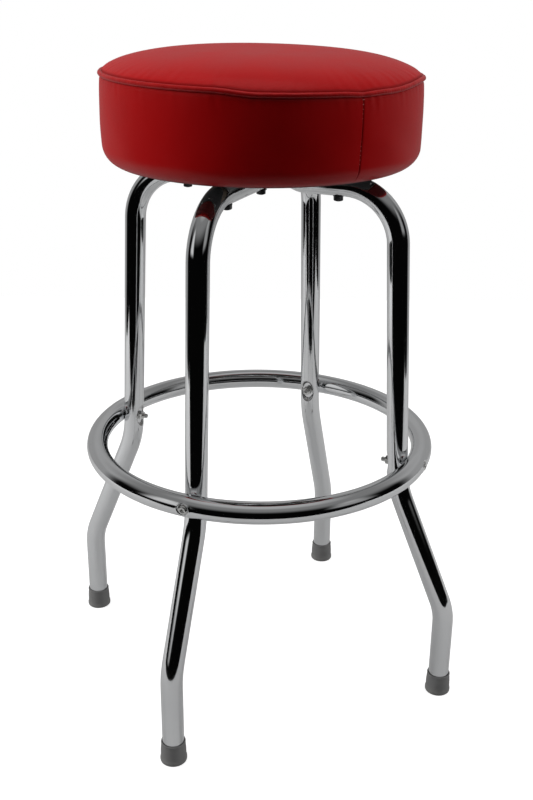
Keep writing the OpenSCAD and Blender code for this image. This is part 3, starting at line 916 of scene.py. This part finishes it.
# Short rounded bars, each along its own direction, in one mesh
def stitches(name, centres, along, out, size):
    length, wide, high = size
    across = np.cross(along, out)
    t = np.linspace(0, pi, 5)[1:-1]
    ends = np.array([[-1.0, 0.0]] + [[-math.cos(a), math.sin(a)] for a in t] + [[1.0, 0.0]])
    v = roundAngles(6)
    swell = ends[:, 1][None, :, None] + 0.12
    points = (
        centres[:, None, None]
        + along[:, None, None] * (ends[:, 0][None, :, None, None] * length / 2)
        + across[:, None, None] * (swell * np.cos(v) * wide / 2)[..., None]
        + out[:, None, None] * (swell * np.sin(v) * high / 2)[..., None]
    )
    count, rows, sides = points.shape[:3]
    index = np.arange(rows * sides).reshape(rows, sides)
    index = np.concatenate([index, index[:, :1]], 1)
    quads = np.stack(
        [index[:-1, :-1], index[:-1, 1:], index[1:, 1:], index[1:, :-1]], -1
    ).reshape(-1, 4)
    quads = (quads[None] + (np.arange(count) * rows * sides)[:, None, None]).reshape(-1, 4)
    ends = np.stack([index[0, :-1][::-1], index[-1, :-1]])
    ends = (ends[None] + (np.arange(count) * rows * sides)[:, None, None]).reshape(-1, sides)
    mesh = bpy.data.meshes.new(name)
    faces = quads.tolist() + ends.tolist()
    mesh.from_pydata(points.reshape(-1, 3).tolist(), [], faces)
    mesh.polygons.foreach_set("use_smooth", np.ones(len(faces), bool))
    mesh.materials.append(finish["redThread"])
    made = bpy.data.objects.new(name, mesh)
    bpy.context.scene.collection.objects.link(made)
    return made


stitch = {
    "pitch": 4.5 * mm,
    "tick": (3.2 * mm, 1.1 * mm, 1.5 * mm),
    "run": (2.0 * mm, 1.3 * mm, 1.3 * mm),
    "drop": 4.6 * mm,                                   # below the piping's middle
}


# Ticks across the seam, down the band
def seamTicks():
    z = np.arange(sideTop - 9 * mm, edgeLow + 2 * mm, -stitch["pitch"])
    share = (sideTop - z) / (sideTop - seat["bottom"])
    theta = np.radians(seam["degrees"] + seam["lean"] * share)
    out = np.stack([np.cos(theta), np.sin(theta), 0 * theta], 1)
    along = np.stack([-np.sin(theta), np.cos(theta), 0 * theta + 0.12], 1)
    along /= np.linalg.norm(along, axis=1)[:, None]
    centres = out * (sideRadius(z) + 0.05 * mm)[:, None]
    centres[:, 2] = z
    return stitches("seamStitches", leant(centres), along, out, stitch["tick"])


# Running stitch under the piping
def pipingStitches():
    count = int(2 * pi * seat["band"] / stitch["pitch"])
    theta = roundAngles(count)
    z = sideTop - stitch["drop"] - hang(theta) * 0.8
    out = np.stack([np.cos(theta), np.sin(theta), 0 * theta], 1)
    along = np.stack([-np.sin(theta), np.cos(theta), 0 * theta], 1)
    centres = out * (sideRadius(z) - 0.85 * mm)[:, None]
    centres[:, 2] = z
    return stitches("pipingStitches", leant(centres), along, out, stitch["run"])


# Flat ring of cloth, rippled a little between its staples
def coverPiece():
    outer, inner = coverBox[1].x, seat["coverHole"]
    z = coverBox[0].z
    theta = roundAngles(240)
    r = np.linspace(outer, inner, 14)
    grid = turnedGrid(np.stack([r, np.full(len(r), z)], 1), theta)
    slack = np.sin(np.linspace(0, pi, 14))[:, None]
    grid[..., 2] -= 0.3 * mm * slack * (0.5 + 0.5 * np.sin(theta * 24))
    made = surface("dustCover", grid, "coverCloth")
    return skin(made, -0.35 * mm)


foamPiece = foamCore()
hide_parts("seat_foam")
bandPiece = skin(sideBand(), seat["vinyl"])
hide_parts("seat_side_band")
panelPiece = skin(topPanel(), seat["vinyl"])
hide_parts("seat_top_panel")
pipePiece = seatPiping()
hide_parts("seat_piping")
seamPiece = seamTicks()
runPiece = pipingStitches()
underPiece = coverPiece()
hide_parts("dust_cover")
for piece in (foamPiece, bandPiece, panelPiece, pipePiece, seamPiece, runPiece, underPiece):
    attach(piece, "seat")

print("seat made")

# CAD nodes that stay, with their finishes

kept = {
    "zincPlate": ["ring_washers", "ring_nuts", "foot_tip_washers", "cover_staples"],
    "darkSteel": [
        "frame_bolts", "frame_washers", "frame_nuts", "kingpin", "kingpin_washer",
        "kingpin_nut", "seat_screws",
    ],
    "blackPaint": ["swivel_base_plate", "swivel_top_plate"],
    "bearingSteel": ["bearing_balls"],
    "cageBrass": ["ball_cage"],
    "bushNylon": ["pivot_bushing"],
    "boardPlywood": ["seat_board"],
}
for finishName, names in kept.items():
    for name in names:
        for holder in nodes[name].material_slots:
            holder.material = finish[finishName]
print("CAD nodes finished")

# Floor, light and camera

paper = {
    "front": 0.62,                                      # it ends a short way in front
    "back": 1.6,
    "half": 1.5,
    "dark": colour(0.52, 0.52, 0.52),
    "pale": colour(0.56, 0.56, 0.56),
    "seen": colour(0.80, 0.80, 0.80),                   # added for the camera, not in the chrome
}
studio = {
    "dark": 0.0015,                                     # what the chrome sees in front
    "wall": 0.31,
    "ceiling": 0.20,
    "top": 0.20,
    "leftWindow": 0.60,
    "rightWindow": 0.28,
}
lamps = {
    "keyLeft": {"side": -1.8, "front": 0.15, "high": 1.2, "size": (0.9, 1.3), "watts": 24},
    "fillRight": {"side": 1.8, "front": -0.05, "high": 1.1, "size": (0.9, 1.3), "watts": 14},
    "overhead": {"side": 0, "front": -0.1, "high": 2.4, "size": (1.4, 1.4), "watts": 17},
}


def stageFloor():
    front, back, half = paper["front"], paper["back"], paper["half"]
    corners = [(front, -half), (front, half), (-back, half), (-back, -half)]
    points = [tuple(towards * a + sideways * b) for a, b in corners]
    mesh = bpy.data.meshes.new("paperFloor")
    mesh.from_pydata(points, [], [(0, 1, 2, 3)])
    made = bpy.data.objects.new("paperFloor", mesh)
    bpy.context.scene.collection.objects.link(made)

    def recipe(place):
        tooth = place.noise(40.0, 3.0)
        seen = place.make("ShaderNodeLightPath", output="Is Camera Ray")
        return {
            "Base Color": tooth.mix(paper["dark"], paper["pale"]),
            "Roughness": 0.7 + tooth * 0.2,
            "Emission Color": seen.mix(colour(0, 0, 0), paper["seen"]),
            "Emission Strength": 1.0,
        }

    mesh.materials.append(material("palePaper", recipe))


# A room drawn by direction: grey wall behind, dark in front, a window each side
def studioWorld():
    world = bpy.data.worlds.new("studio")
    bpy.context.scene.world = world
    world.use_nodes = True
    tree = world.node_tree
    look = Wire(tree, tree.nodes.new("ShaderNodeTexCoord").outputs["Generated"])
    seen = look.make("ShaderNodeLightPath", output="Is Camera Ray")
    up = look.axis("Z")
    back = look.dot(tuple(towards))
    side = look.dot(tuple(sideways))
    behind = back.step(-0.12, -0.42) * up.step(0.80, 0.40)
    window = up.step(0.00, 0.16) * up.step(0.75, 0.50) * back.step(0.15, 0.40)
    leftWindow = side.step(-0.62, -0.78) * window
    rightWindow = side.step(0.62, 0.78) * window
    top = up.step(0.82, 0.98)
    ceiling = up.step(0.28, 0.75)
    glow = studio["dark"] + behind * studio["wall"]
    glow = glow + ceiling * studio["ceiling"] + top * studio["top"]
    glow = glow + leftWindow * studio["leftWindow"] + rightWindow * studio["rightWindow"]
    glow = seen * 1.0 + (1 - seen) * glow
    shade = tree.nodes["Background"]
    plug(tree, shade.inputs["Color"], colour(1.0, 1.0, 1.0))
    plug(tree, shade.inputs["Strength"], glow)


def areaLight(name, lamp):
    place = sideways * lamp["side"] + towards * lamp["front"] + Vector((0, 0, lamp["high"]))
    panel = bpy.data.lights.new(name, "AREA")
    panel.shape = "RECTANGLE"
    panel.size, panel.size_y = lamp["size"]
    panel.energy = lamp["watts"]
    made = bpy.data.objects.new(name, panel)
    made.location = place
    aim = Vector((0, 0, 0.45)) - place
    made.rotation_mode = "QUATERNION"
    made.rotation_quaternion = aim.to_track_quat("-Z", "Y")
    made.visible_glossy = False                         # the world makes the reflections
    bpy.context.scene.collection.objects.link(made)


def placeCamera():
    ahead = view["ahead"]
    right = ahead.cross(Vector((0, 0, 1))).normalized()
    up = right.cross(ahead)
    c, s = math.cos(view["roll"]), math.sin(view["roll"])
    right, up = c * right + s * up, c * up - s * right
    camera = bpy.data.cameras.new("view")
    camera.lens = view["lens"]
    camera.sensor_width = 36
    camera.clip_start, camera.clip_end = 0.05, 50
    made = bpy.data.objects.new("view", camera)
    turn = Matrix((right, up, -ahead)).transposed().to_4x4()
    made.matrix_world = Matrix.Translation(view["place"]) @ turn
    bpy.context.scene.collection.objects.link(made)
    bpy.context.scene.camera = made


stageFloor()
studioWorld()
for name, lamp in lamps.items():
    areaLight(name, lamp)
placeCamera()
bpy.context.scene.view_settings.view_transform = "Standard"
print("stage made")
